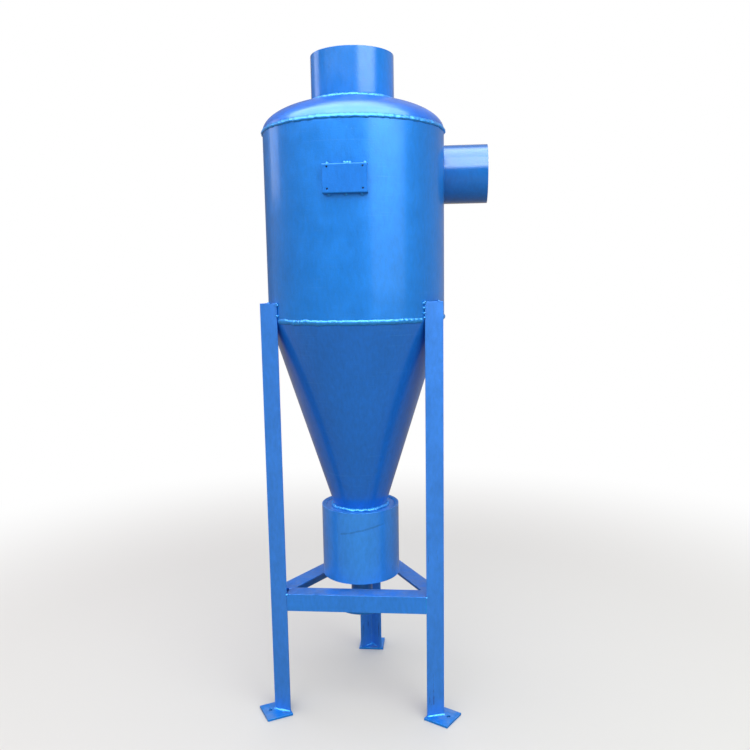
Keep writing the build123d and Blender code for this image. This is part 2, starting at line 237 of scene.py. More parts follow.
# Shell: plate rolled to a cylinder, closed by one upright weld at the back. Behind the bracket the wall is
# painted near black, as painted shade that shows through the bracket's holes. It sets the vessel's finish,
# blue enamel sprayed on in the yard, so the paint's effects are worked out here, and so are the welds: laid
# by hand, each a row of overlapping ripples that swells and wanders a little.
def make_group(name, inputs, outputs):
    """An empty shader node group with named sockets: name, kind and, on inputs, the usual value."""
    tree = bpy.data.node_groups.new(name, "ShaderNodeTree")
    for title, kind, usual in inputs:
        socket = tree.interface.new_socket(name=title, in_out="INPUT", socket_type="NodeSocket" + kind)
        socket.default_value = usual
    for title, kind in outputs:
        tree.interface.new_socket(name=title, in_out="OUTPUT", socket_type="NodeSocket" + kind)
    return tree, add_node(tree, "NodeGroupInput"), add_node(tree, "NodeGroupOutput")


noise_middle = 0.5


def noise(tree, place, scale, detail=2.0, roughness=0.5):
    """A noise texture's value at a place."""
    made = add_node(tree, "ShaderNodeTexNoise")
    for socket, number in (("Scale", scale), ("Detail", detail), ("Roughness", roughness)):
        made.inputs[socket].default_value = number
    wire(tree, place, made.inputs["Vector"])
    return made.outputs["Fac"]


def mix_colour(tree, factor, first, second):
    """A colour between two sockets or plain colours."""
    made = add_node(tree, "ShaderNodeMix", data_type="RGBA")
    wire(tree, factor, made.inputs["Factor"])
    for socket, value in ((made.inputs["A"], first), (made.inputs["B"], second)):
        if isinstance(value, tuple):
            socket.default_value = (*value, 1)
        else:
            wire(tree, value, socket)
    return made.outputs["Result"]


def sprayed_coat():
    """Sprayed enamel: the passes of the gun leave cloudy and speckled changes of tone and of gloss."""
    drawn_out, gloss_change = (1, 1, 0.4), 0.05
    tree, given, made = make_group(
        "sprayed_coat",
        [("Paint", "Color", (0.005, 0.16, 0.62, 1)), ("Cloud", "Float", 0.30), ("Speckle", "Float", 0.45)],
        [("Colour", "Color"), ("Roughness", "Float")],
    )
    place = add_node(tree, "ShaderNodeTexCoord").outputs["Object"]
    passes = add_node(tree, "ShaderNodeVectorMath", operation="MULTIPLY")
    passes.inputs[1].default_value = drawn_out
    wire(tree, place, passes.inputs[0])
    cloud = calc(tree, "SUBTRACT", noise(tree, passes.outputs[0], scale=7.0, detail=4.0), noise_middle)
    speckle = calc(tree, "SUBTRACT", noise(tree, passes.outputs[0], scale=95.0, detail=4.0, roughness=0.65),
                   noise_middle)
    lift = calc(tree, "ADD", calc(tree, "MULTIPLY", cloud, given.outputs["Cloud"]),
                calc(tree, "MULTIPLY", speckle, given.outputs["Speckle"]))
    tone = add_node(tree, "ShaderNodeHueSaturation")
    wire(tree, calc(tree, "ADD", lift, 1.0), tone.inputs["Value"],
         given.outputs["Paint"], tone.inputs["Color"], tone.outputs["Color"], made.inputs["Colour"],
         spread(tree, noise(tree, place, scale=18.0, detail=4.0), 0.3, 0.7, -gloss_change, gloss_change),
         made.inputs["Roughness"])
    return tree


def orange_peel():
    """The height of a sprayed coat: fine orange peel over the slow unevenness of rolled plate."""
    plate_height = 7.0
    tree, given, made = make_group(
        "orange_peel", [("Peel", "Float", 1.0), ("Plate", "Float", 1.0)], [("Height", "Float")]
    )
    place = add_node(tree, "ShaderNodeTexCoord").outputs["Object"]
    peel = calc(tree, "MULTIPLY", noise(tree, place, scale=190.0, detail=1.0), given.outputs["Peel"])
    plate = calc(tree, "MULTIPLY", noise(tree, place, scale=9.0, detail=1.0), given.outputs["Plate"])
    wire(tree, calc(tree, "ADD", peel, calc(tree, "MULTIPLY", plate, plate_height)), made.inputs["Height"])
    return tree


def rounded_edge():
    """Cut edges under thick paint turn over a small radius, marked by Edge for a painted highlight."""
    flat_enough, turned_away = 0.985, 0.85
    tree, given, made = make_group(
        "rounded_edge", [("Width", "Float", 0.0015)], [("Normal", "Vector"), ("Edge", "Float")]
    )
    turned = add_node(tree, "ShaderNodeBevel", samples=6)
    shape = add_node(tree, "ShaderNodeNewGeometry")
    agree = add_node(tree, "ShaderNodeVectorMath", operation="DOT_PRODUCT")
    wire(tree, given.outputs["Width"], turned.inputs["Radius"], turned.outputs[0], agree.inputs[0],
         shape.outputs["Normal"], agree.inputs[1], turned.outputs[0], made.inputs["Normal"],
         spread(tree, agree.outputs["Value"], flat_enough, turned_away), made.inputs["Edge"])
    return tree


def settled_dust():
    """Yard dust that settles in patches on faces that look up."""
    sloping, level_enough, thin, thick = 0.55, 0.98, 0.36, 0.68
    tree, given, made = make_group("settled_dust", [("Amount", "Float", 0.3)], [("Dust", "Float")])
    place = add_node(tree, "ShaderNodeTexCoord").outputs["Object"]
    part = add_node(tree, "ShaderNodeSeparateXYZ")
    wire(tree, add_node(tree, "ShaderNodeNewGeometry").outputs["Normal"], part.inputs[0])
    level = spread(tree, part.outputs["Z"], sloping, level_enough)
    patches = spread(tree, noise(tree, place, scale=26.0, detail=5.0, roughness=0.6), thin, thick)
    wire(tree, calc(tree, "MULTIPLY", calc(tree, "MULTIPLY", level, patches), given.outputs["Amount"]),
         made.inputs["Dust"])
    return tree


def rub_marks():
    """Rubs from slings and handling: thin marks with broken ends, in patches between two heights."""
    faint_line, full_line, patch_edge, patch_middle = 0.58, 0.70, 0.46, 0.60
    tree, given, made = make_group(
        "rub_marks",
        [("Stretch", "Vector", (90.0, 90.0, 6.0)), ("Amount", "Float", 0.5), ("Low", "Float", 0.0),
         ("High", "Float", 3.0)],
        [("Rub", "Float")],
    )
    place = add_node(tree, "ShaderNodeTexCoord").outputs["Object"]
    drawn = add_node(tree, "ShaderNodeVectorMath", operation="MULTIPLY")
    part = add_node(tree, "ShaderNodeSeparateXYZ")
    wire(tree, place, drawn.inputs[0], given.outputs["Stretch"], drawn.inputs[1], place, part.inputs[0])
    lines = noise(tree, drawn.outputs[0], scale=1.0, detail=4.0, roughness=0.7)
    lines = spread(tree, lines, faint_line, full_line)
    where = spread(tree, noise(tree, place, scale=4.0), patch_edge, patch_middle)
    band = calc(tree, "MULTIPLY", calc(tree, "GREATER_THAN", part.outputs["Z"], given.outputs["Low"]),
                calc(tree, "LESS_THAN", part.outputs["Z"], given.outputs["High"]))
    rub = calc(tree, "MULTIPLY", calc(tree, "MULTIPLY", lines, where), given.outputs["Amount"])
    wire(tree, calc(tree, "MULTIPLY", rub, band), made.inputs["Rub"])
    return tree


paint_groups = {
    "coat": sprayed_coat(), "peel": orange_peel(), "edge": rounded_edge(), "dust": settled_dust(),
    "rub": rub_marks(),
}
vessel_blue, dust_tone = (0.003, 0.208, 0.715), (0.30, 0.34, 0.40)
# How much lighter edges are painted, and how strongly: a painted highlight on every edge.
edge_highlight_gain, edge_highlight_lift, edge_highlight_share, worn_roughness = 1.3, 0.03, 0.6, 0.4


def enamel(name, paint=vessel_blue, gloss=0.34, coat=0.6, rubbed_paint=(0.006, 0.060, 0.230), **values):
    """Blue enamel for one piece: the paint's effects, each with that piece's own values."""
    material = bpy.data.materials.new(name)
    material.use_nodes = True
    tree = material.node_tree
    shader = tree.nodes["Principled BSDF"]
    shader.inputs["Specular IOR Level"].default_value = 0.36
    shader.inputs["Coat Weight"].default_value = coat
    shader.inputs["Coat Roughness"].default_value = 0.14
    shader.inputs["Metallic"].default_value = 0.25
    made = {}
    for title, group in paint_groups.items():
        made[title] = add_node(tree, "ShaderNodeGroup", node_tree=group)
    made["coat"].inputs["Paint"].default_value = (*paint, 1)
    for title, settings in values.items():
        for socket, value in settings.items():
            made[title].inputs[socket].default_value = value
    # Edges get a lighter tone of the paint: a painted highlight.
    edge_highlight_tone = tuple(min(1.0, part * edge_highlight_gain + edge_highlight_lift) for part in paint)
    edge_highlit = mix_colour(tree, calc(tree, "MULTIPLY", made["edge"].outputs["Edge"], edge_highlight_share),
                       made["coat"].outputs["Colour"], edge_highlight_tone)
    rubbed = mix_colour(tree, made["rub"].outputs["Rub"], edge_highlit, rubbed_paint)
    dusted = mix_colour(tree, made["dust"].outputs["Dust"], rubbed, dust_tone)
    worn = calc(tree, "ADD", made["dust"].outputs["Dust"], made["rub"].outputs["Rub"])
    rough = calc(tree, "ADD", calc(tree, "ADD", made["coat"].outputs["Roughness"], gloss),
                 calc(tree, "MULTIPLY", worn, worn_roughness))
    relief = add_node(tree, "ShaderNodeBump")
    relief.inputs["Strength"].default_value = 0.55
    relief.inputs["Distance"].default_value = 0.0006
    wire(tree, dusted, shader.inputs["Base Color"], rough, shader.inputs["Roughness"],
         made["peel"].outputs["Height"], relief.inputs["Height"], made["edge"].outputs["Normal"],
         relief.inputs["Normal"], relief.outputs[0], shader.inputs["Normal"])
    return material


def dress(material, *names):
    """Give CAD pieces their finish."""
    for name in names:
        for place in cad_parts[name].material_slots:
            place.material = material


shell_marks = {"Stretch": (4.0, 4.0, 240.0), "Amount": 0.45}
pale_mark = (0.060, 0.300, 0.780)
dress(enamel("shell_enamel", rubbed_paint=pale_mark, dust={"Amount": 0.0}, rub=shell_marks), "shell")
shell_low, shell_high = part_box("shell")
shell_radius = shell_high.x
cone_seam, head_seam = shell_low.z, shell_high.z

# The beads' paint is lighter than the vessel's: a painted highlight, for faces that turn up to the sky.
bead_enamel = enamel("bead_enamel", (0.020, 0.275, 0.760), gloss=0.34, coat=0.35, dust={"Amount": 0.0},
                     rub={"Amount": 0.0}, edge={"Width": 0.0003}, peel={"Peel": 0.5, "Plate": 0.0})
ripple_pitch, ripple_depth, ripple_steps, ripple_bow, pace_drift = 0.0042, 0.0005, 5, 1.7, 0.5
toe_swell, toe_jitter, crown_swell, end_taper, least_taper = 0.07, 0.05, 0.20, 0.004, 0.02
bead_corners, fewest_stations, wander_waves, wave_heights = 8, 8, 8, (0.2, 0.5)
bead_sink, ring_sink = 0.0003, 0.0002


def wander(run, total, closed, seed, shortest=0.022, longest=0.14):
    """A slow, uneven value along a run, mostly between -1 and 1, that meets itself on a closed run."""
    chance = np.random.RandomState(seed)
    value = np.zeros_like(run)
    for _ in range(wander_waves):
        cycles = total / (shortest * (longest / shortest) ** chance.rand())
        if closed:
            cycles = max(1, round(cycles))
        value += chance.uniform(*wave_heights) * np.sin(2 * pi * (cycles * run / total + chance.rand()))
    return value


def lay_bead(root, first, second, out, crown, seed, closed=False, uneven=1.0, lean=1.0):
    """A bead along a run of roots, between two toes and bulging outwards: its points and faces.

    A lean above 1 pushes the bulge towards the second toe, as on a weld laid on an upright wall."""
    count = len(root)
    steps = np.linalg.norm(np.roll(root, -1, axis=0) - root, axis=1)
    run = np.r_[0, np.cumsum(steps)[:-1]]
    total = run[-1] + (steps[-1] if closed else 0)
    taper = np.ones(count)
    if not closed:
        taper = np.sqrt(np.clip(np.minimum(run, total - run) / end_taper, least_taper, 1))
    swell = (1 + toe_swell * uneven * wander(run, total, closed, seed)) * taper
    drift = toe_swell * uneven * wander(run, total, closed, seed + 1)
    fine = toe_jitter * uneven * wander(run, total, closed, seed + 2, shortest=0.007, longest=0.02)
    lumps = wander(run, total, closed, seed + 3, shortest=0.012, longest=0.06)
    bulge = crown * (1 + crown_swell * uneven * lumps) * taper
    across = np.linspace(0, 1, bead_corners + 1)[None, :]
    pace = run / ripple_pitch + pace_drift * wander(run, total, closed, seed + 4)
    if closed:
        pace = pace + (round(total / ripple_pitch) - total / ripple_pitch) * run / total
    ripple = 1 - np.abs(np.sin(pi * (pace[:, None] + ripple_bow * (across - 0.5) ** 2)))
    rise = 4 * across**lean * (1 - across**lean)
    first_toe = first * (swell * (1 + drift + fine))[:, None]
    second_toe = second * (swell * (1 - drift + fine))[:, None]
    height = bulge[:, None] * rise - ripple_depth * ripple * np.sqrt(rise)
    flat = first_toe[:, None] * (1 - across[..., None]) + second_toe[:, None] * across[..., None]
    face = root[:, None] + flat + out[:, None] * height[..., None]
    points = np.concatenate([face, root[:, None]], axis=1)
    width = points.shape[1]
    start = np.arange(count if closed else count - 1)[:, None] * width
    corner = np.arange(width)[None]
    beside = (corner + 1) % width
    ahead = (start + width) % (count * width)
    quads = np.stack([start + corner, start + beside, ahead + beside, ahead + corner], axis=-1)
    faces = quads.reshape(-1, 4).tolist()
    if not closed:
        faces += [list(range(width)), [(count - 1) * width + k for k in range(width)]]
    return points.reshape(-1, 3), faces


def stations(length):
    """How many stations a bead of some length needs for its ripples to show."""
    return max(fewest_stations, int(length / ripple_pitch * ripple_steps))


def ring_bead(radius, height, first, second, crown, seed, start=0, end=360, out=None, **shape):
    """A bead round the axis. Its toes, and its bulge where given, are steps out and up from the root."""
    closed = end - start >= 360
    count = stations(radians(end - start) * radius)
    turn = np.radians(np.linspace(start, end, count, endpoint=not closed))
    radial = np.c_[np.cos(turn), np.sin(turn), 0 * turn]
    up = np.array([0, 0, 1.0])
    facing = np.array(out or (first[0] + second[0], first[1] + second[1]))
    facing = facing / np.linalg.norm(facing)
    return lay_bead(radius * radial + height * up, first[0] * radial + first[1] * up,
                    second[0] * radial + second[1] * up, facing[0] * radial + facing[1] * up,
                    crown, seed, closed, **shape)


def straight_bead(start, end, first, second, crown, seed, out=None, **shape):
    """A bead along a straight joint; the toes, and the bulge where given, are steps from it in space."""
    start, end, first, second = (np.array(v, float) for v in (start, end, first, second))
    count = stations(np.linalg.norm(end - start))
    share = np.linspace(0, 1, count)[:, None]
    facing = np.array(out, float) if out is not None else first + second
    facing = facing / np.linalg.norm(facing)
    every = np.ones((count, 1))
    return lay_bead(start + (end - start) * share, every * first, every * second, every * facing,
                    crown, seed, **shape)


def weld_piece(name, parts, *replaced):
    """Join beads into one piece of bead enamel, which rides with the vessel in place of plain beads."""
    points, faces, base = [], [], 0
    for some_points, some_faces in parts:
        points.append(some_points)
        faces += [[base + k for k in face] for face in some_faces]
        base += len(some_points)
    piece = solid_piece(name, np.concatenate(points), faces)
    piece.data.materials.append(bead_enamel)
    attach(piece, "root")
    if replaced:
        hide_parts(*replaced)


def at(turn, out, side, height):
    """A point by the vessel: its distance out at an azimuth, its distance to one side, and its height."""
    away = np.array([cos(radians(turn)), sin(radians(turn)), 0])
    across = np.array([-away[1], away[0], 0])
    return away * out + across * side + np.array([0, 0, height])


bracket_low, bracket_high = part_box("nameplate_bracket")
# The near-black tone is painted shade for the gap behind the bracket, seen through its holes.
bracket_margin, painted_shade_tone = 0.004, (0.010, 0.012, 0.018)


def paint_shade_in_box(material, low, high, margin):
    """Painted shade on the front wall inside a box, a margin in from its sides, in a near-black tone."""
    tree = material.node_tree
    shader = tree.nodes["Principled BSDF"]
    part = add_node(tree, "ShaderNodeSeparateXYZ")
    wire(tree, add_node(tree, "ShaderNodeTexCoord").outputs["Object"], part.inputs[0])
    inside = calc(tree, "LESS_THAN", part.outputs["Y"], 0.0)
    for axis, start, end in (("X", low.x, high.x), ("Z", low.z, high.z)):
        for operation, limit in (("GREATER_THAN", start + margin), ("LESS_THAN", end - margin)):
            inside = calc(tree, "MULTIPLY", inside, calc(tree, operation, part.outputs[axis], limit))
    painted = shader.inputs["Base Color"].links[0].from_socket
    wire(tree, mix_colour(tree, inside, painted, painted_shade_tone), shader.inputs["Base Color"])


# The wall behind the bracket gets painted shade, so that the bracket's holes look dark.
paint_shade_in_box(bpy.data.materials["shell_enamel"], bracket_low, bracket_high, bracket_margin)
shell_seam_turn, plate_bead_half = 128, 0.0045
weld_piece("shell_seam_bead", [straight_bead(
    at(shell_seam_turn, shell_radius - bead_sink, 0, cone_seam + 0.006),
    at(shell_seam_turn, shell_radius - bead_sink, 0, head_seam + 0.001),
    at(shell_seam_turn, 0, plate_bead_half, 0), at(shell_seam_turn, 0, -plate_bead_half, 0),
    crown=0.0018, seed=40, out=at(shell_seam_turn, 1, 0, 0))])

# Cone: rolled plate, closed by a weld at the back and joined edge to edge under the shell by a heavy bead,
# which is broken where the legs' toes bear on the shell.
dress(enamel("cone_enamel", (0.010, 0.175, 0.690), rubbed_paint=pale_mark, dust={"Amount": 0.0},
             rub=shell_marks), "cone")
cone_bead_leg, cone_bead_toe, cone_bead_sink = 0.0092, 0.0006, 0.0008
cone_bead_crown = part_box("cone_weld")[1].y - shell_radius
toe_turn, toe_room, leg_spacing = 7.2, 1.9, 120
leg_turns = {"back": 90, "left": 210, "right": 330}
cone_foot_radius = 0.092
cone_low, cone_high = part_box("cone")
cone_slope = (shell_radius - cone_foot_radius) / (cone_high.z - cone_low.z)
parts = []
for number, turn in enumerate(leg_turns.values()):
    behind_leg = (turn - toe_turn + toe_room, turn + toe_turn - toe_room)
    between_legs = (turn + toe_turn + toe_room, turn + leg_spacing - toe_turn - toe_room)
    for place, (start, end) in enumerate((behind_leg, between_legs)):
        parts.append(ring_bead(shell_radius - cone_bead_sink, cone_seam, (cone_bead_toe, cone_bead_leg),
                               (cone_bead_toe - cone_slope * cone_bead_leg, -cone_bead_leg),
                               crown=cone_bead_crown, seed=10 + 12 * number + 6 * place,
                               start=start, end=end, out=(1, 0)))
weld_piece("cone_seam_bead", parts, "cone_weld")
cone_seam_turn, cone_plate_half, above_foot, below_seam = 52, 0.0042, 0.010, 0.007
weld_piece("cone_plate_bead", [straight_bead(
    at(cone_seam_turn, cone_foot_radius + cone_slope * above_foot - bead_sink, 0, cone_low.z + above_foot),
    at(cone_seam_turn, shell_radius - cone_slope * below_seam - bead_sink, 0, cone_seam - below_seam),
    at(cone_seam_turn, 0, cone_plate_half, 0), at(cone_seam_turn, 0, -cone_plate_half, 0),
    crown=0.0016, seed=50, out=at(cone_seam_turn, 1, 0, -cone_slope))])

# Head: a pressed dish on a short skirt. The weld that joins it to the shell stands proud of the plate, with
# a wavy lower edge that throws a thin dark line. Drops of spatter lie near the seams and by the outlet.
dress(enamel("head_enamel", (0.008, 0.156, 0.700), dust={"Amount": 0.10}, rub={"Amount": 0.0}), "top_head")
head_bead_up, head_bead_sink, head_toes = 0.0042, 0.001, ((0.0008, 0.0076), (0.0011, -0.0064))
weld_piece("head_seam_bead", [ring_bead(shell_radius - head_bead_sink, head_seam + head_bead_up, *head_toes,
                                        crown=0.0044, seed=60, out=(1, 0), uneven=1.3, lean=1.5)],
           "head_weld")
dome_sides, dome_shares, dome_uneven, dome_across = 10, (1.0, 0.86, 0.5), 0.15, (0.36, 0.48, 0.80)
head_rise, head_skirt = 0.104, 0.006


def dome(centre, normal, radius, height, seed):
    """A small lump of weld metal on a surface: its points and faces."""
    chance = np.random.RandomState(seed)
    normal = np.array(normal, float) / np.linalg.norm(normal)
    side = np.cross(normal, dome_across)
    side /= np.linalg.norm(side)
    ahead = np.cross(normal, side)
    turns = np.linspace(0, 2 * pi, dome_sides, endpoint=False)
    reach = radius * (1 + dome_uneven * chance.uniform(-1, 1, dome_sides))
    spokes = (np.cos(turns)[:, None] * side + np.sin(turns)[:, None] * ahead) * reach[:, None]
    rings = []
    for share in dome_shares:
        rings.append(centre + spokes * share + normal * (height * sqrt(1 - share**2) - ring_sink))
    points = np.concatenate(rings + [(centre + normal * (height - ring_sink))[None]])
    faces = [list(range(dome_sides))]
    for here in range((len(dome_shares) - 1) * dome_sides):
        beside = here + 1 if (here + 1) % dome_sides else here + 1 - dome_sides
        faces.append([here, beside, beside + dome_sides, here + dome_sides])
    last = (len(dome_shares) - 1) * dome_sides
    faces += [[last + k, last + (k + 1) % dome_sides, len(points) - 1] for k in range(dome_sides)]
    return points, faces


def on_head(turn, radius):
    """A point on the dish and the way that it faces."""
    height = head_seam + head_skirt + head_rise * sqrt(1 - (radius / shell_radius) ** 2)
    slope = (height - head_seam - head_skirt) / head_rise**2
    return at(turn, radius, 0, height), at(turn, radius / shell_radius**2, 0, slope)


chance = np.random.RandomState(7)
head_drops, cluster_drops, cone_drops, dish_drops = 46, 10, 24, 26
head_turns, cluster_turns, below_head, above_cone = (75, 370), (303, 318), (0.006, 0.034), (0.011, 0.030)
by_outlet, drop_radii, drop_heights = (0.151, 0.185), (0.0006, 0.0014), (0.0005, 0.0009)
spatter_turns = np.r_[chance.uniform(*head_turns, head_drops), chance.uniform(*cluster_turns, cluster_drops)]
drops = []
for turn in spatter_turns:
    drops.append((at(turn, shell_radius, 0, head_seam - chance.uniform(*below_head)), at(turn, 1, 0, 0)))
for turn in chance.uniform(0, 360, cone_drops):
    drops.append((at(turn, shell_radius, 0, cone_seam + chance.uniform(*above_cone)), at(turn, 1, 0, 0)))
for turn in chance.uniform(0, 360, dish_drops):
    drops.append(on_head(turn, chance.uniform(*by_outlet)))
parts = []
for number, (centre, normal) in enumerate(drops):
    parts.append(dome(centre, normal, radius=chance.uniform(*drop_radii),
                      height=chance.uniform(*drop_heights), seed=600 + number))
weld_piece("weld_spatter", parts)


# Outlet: a length of pipe through the head, open at the top, with a fillet weld round its foot. Outside it
# is enamelled; inside, the spray reaches a hand's width down and the steel below is bare.
def spray_reach():
    """Where a pipe is bare inside: past its wall's middle and deeper than the spray reached."""
    full_bare = 0.8
    tree, given, made = make_group(
        "spray_reach",
        [("Mouth", "Vector", (0, 0, 0)), ("Direction", "Vector", (0, 0, 1)), ("Bore", "Float", 0.13),
         ("Reach", "Float", 0.1)],
        [("Bare", "Float")],
    )
    place = add_node(tree, "ShaderNodeTexCoord").outputs["Object"]
    away = add_node(tree, "ShaderNodeVectorMath", operation="SUBTRACT")
    deep = add_node(tree, "ShaderNodeVectorMath", operation="DOT_PRODUCT")
    long = add_node(tree, "ShaderNodeVectorMath", operation="LENGTH")
    wire(tree, given.outputs["Mouth"], away.inputs[0], place, away.inputs[1],
         away.outputs[0], deep.inputs[0], given.outputs["Direction"], deep.inputs[1],
         away.outputs[0], long.inputs[0])
    depth = deep.outputs["Value"]
    squares = calc(tree, "SUBTRACT", calc(tree, "POWER", long.outputs["Value"], 2.0),
                   calc(tree, "MULTIPLY", depth, depth))
    inside = calc(tree, "LESS_THAN", calc(tree, "SQRT", squares), given.outputs["Bore"])
    uneven = calc(tree, "MULTIPLY",
                  noise(tree, place, scale=14.0, detail=5.0, roughness=0.6), given.outputs["Reach"])
    past = calc(tree, "DIVIDE", calc(tree, "SUBTRACT", depth, uneven), given.outputs["Reach"])
    wire(tree, calc(tree, "MULTIPLY", spread(tree, past, 0.0, full_bare), inside), made.inputs["Bare"])
    return tree


reach_group = spray_reach()
bare_steel, bare_roughness, bare_metal = (0.105, 0.085, 0.070), 0.35, 0.6


def pipe_enamel(name, mouth, direction, bore, reach, **values):
    """The vessel's enamel outside, running out to bare, lightly rusted steel down the bore."""
    material = enamel(name, **values)
    tree = material.node_tree
    shader = tree.nodes["Principled BSDF"]
    bare = add_node(tree, "ShaderNodeGroup", node_tree=reach_group)
    for socket, value in (("Mouth", mouth), ("Direction", direction), ("Bore", bore), ("Reach", reach)):
        bare.inputs[socket].default_value = value
    painted = shader.inputs["Base Color"].links[0].from_socket
    satin = shader.inputs["Roughness"].links[0].from_socket
    wire(tree, mix_colour(tree, bare.outputs["Bare"], painted, bare_steel), shader.inputs["Base Color"],
         calc(tree, "ADD", satin, calc(tree, "MULTIPLY", bare.outputs["Bare"], bare_roughness)),
         shader.inputs["Roughness"],
         calc(tree, "MULTIPLY", bare.outputs["Bare"], bare_metal), shader.inputs["Metallic"])
    return material


outlet_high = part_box("outlet_pipe")[1]
outlet_radius, outlet_half_wall, outlet_bead_up = outlet_high.x, 0.003, 0.009
outlet_toes = ((0.0002, 0.0086), (0.0094, -0.0020))
outlet_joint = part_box("outlet_weld")[1].z - outlet_bead_up
dress(pipe_enamel("outlet_enamel", mouth=(0, 0, outlet_high.z), direction=(0, 0, 1),
                  bore=outlet_radius - outlet_half_wall, reach=0.11, gloss=0.20, dust={"Amount": 0.1},
                  rub={"Amount": 0.0}), "outlet_pipe")
weld_piece("outlet_bead", [ring_bead(outlet_radius - bead_sink, outlet_joint, *outlet_toes, crown=0.0026,
                                     seed=80, uneven=0.9)], "outlet_weld")

# Inlet duct: thin plate rolled to a pipe, its seam low at the back, and cut to the saddle of the shell. It
# meets the shell close to a tangent, behind the axis, with a weld all round the saddle.
duct_low, duct_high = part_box("inlet_pipe")
duct_radius = (duct_high.z - duct_low.z) / 2
duct_side = (duct_low.y + duct_high.y) / 2
duct_height = (duct_low.z + duct_high.z) / 2
duct_half_wall, saddle_stretch, off_zero = 0.0015, 1.2, 1e-9
# The duct's paint is darker than the vessel's: painted shade, for its dim underside.
dress(pipe_enamel("duct_enamel", mouth=(duct_high.x, duct_side, duct_height), direction=(1, 0, 0),
                  bore=duct_radius - duct_half_wall, reach=0.10, paint=(0.003, 0.165, 0.570), gloss=0.15,
                  dust={"Amount": 0.12}, rub={"Stretch": (14.0, 60.0, 60.0), "Amount": 0.12}), "inlet_pipe")
saddle_turn = np.linspace(0, 2 * pi, stations(2 * pi * duct_radius * saddle_stretch), endpoint=False)
round_duct = np.c_[0 * saddle_turn, np.cos(saddle_turn), np.sin(saddle_turn)]
saddle = round_duct * (duct_radius - bead_sink) + np.array([0, duct_side, duct_height])
saddle[:, 0] = np.sqrt((shell_radius - bead_sink) ** 2 - saddle[:, 1] ** 2)
off_shell = saddle * np.array([1, 1, 0]) / np.linalg.norm(saddle[:, :2], axis=1)[:, None]
along_saddle = np.roll(saddle, -1, axis=0) - np.roll(saddle, 1, axis=0)
from_duct = np.cross(off_shell, along_saddle)
from_duct /= np.linalg.norm(from_duct, axis=1)[:, None]
from_duct *= np.sign((from_duct * round_duct).sum(axis=1) + off_zero)[:, None]
saddle_out = round_duct + off_shell
saddle_out /= np.linalg.norm(saddle_out, axis=1)[:, None]
along_duct = np.tile([1.0, 0, 0], (len(saddle), 1))
duct_leg, shell_leg = 0.0065, 0.0060
weld_piece("saddle_bead", [lay_bead(saddle, along_duct * duct_leg, from_duct * shell_leg, saddle_out,
                                    crown=0.0016, seed=100, closed=True)], "inlet_weld")
duct_seam, duct_seam_half = radians(-50), 0.003
seam_out = np.array([0, cos(duct_seam), sin(duct_seam)])
seam_along = np.array([0, -sin(duct_seam), cos(duct_seam)]) * duct_seam_half
seam_line = np.array([0, duct_side, duct_height]) + seam_out * (duct_radius - bead_sink)
seam_start = (sqrt(shell_radius**2 - seam_line[1] ** 2) + 0.006, 0, 0)
seam_end = (duct_high.x - 0.002, 0, 0)
weld_piece("duct_seam_bead", [straight_bead(seam_line + seam_start, seam_line + seam_end, seam_along,
                                            -seam_along, crown=0.0010, seed=110, out=seam_out)])

# Dust pot: a length of pipe, with a cover plate let into its top and a bottom plate let into its lower end.
# The drain pipe hangs from it with a slip-on flange. Every joint has its own fillet weld.
pot_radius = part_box("pot_shell")[1].x
cover_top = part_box("pot_cover")[1].z
dress(enamel("pot_enamel", (0.036, 0.275, 0.830), dust={"Amount": 0.10}, rubbed_paint=pale_mark,
             rub=shell_marks), "pot_shell", "pot_cover", "pot_bottom_plate")
scratch_height, scratch_slope, scratch_half = 0.650, 0.22, 0.0022
scratch_left, scratch_right, scratch_depth, scratch_waver = -0.062, 0.098, 0.40, 0.008
scratch_tone, fade_in, fade_out, least_broken, most_broken = (0.008, 0.070, 0.330), 0.01, 0.02, 0.20, 0.50


def scratch(material):
    """One slanting scuff across the front of the pot, wavering, darker than the paint."""
    tree = material.node_tree
    shader = tree.nodes["Principled BSDF"]
    place = add_node(tree, "ShaderNodeTexCoord").outputs["Object"]
    part = add_node(tree, "ShaderNodeSeparateXYZ")
    wire(tree, place, part.inputs[0])
    line = calc(tree, "ADD", calc(tree, "MULTIPLY", part.outputs["X"], scratch_slope), scratch_height)
    waver = calc(tree, "SUBTRACT", noise(tree, place, scale=30.0), noise_middle)
    waver = calc(tree, "MULTIPLY", waver, scratch_waver)
    off = calc(tree, "ABSOLUTE", calc(tree, "SUBTRACT", part.outputs["Z"], calc(tree, "ADD", line, waver)))
    ends = calc(tree, "MULTIPLY", spread(tree, part.outputs["X"], scratch_left, scratch_left + fade_in),
                spread(tree, part.outputs["X"], scratch_right, scratch_right - fade_out))
    front = calc(tree, "LESS_THAN", part.outputs["Y"], 0.0)
    broken = spread(tree, noise(tree, place, scale=160.0), least_broken, most_broken)
    mark = calc(tree, "MULTIPLY", spread(tree, off, 2 * scratch_half, scratch_half), ends)
    for share in (front, broken, scratch_depth):
        mark = calc(tree, "MULTIPLY", mark, share)
    painted = shader.inputs["Base Color"].links[0].from_socket
    wire(tree, mix_colour(tree, mark, painted, scratch_tone), shader.inputs["Base Color"])


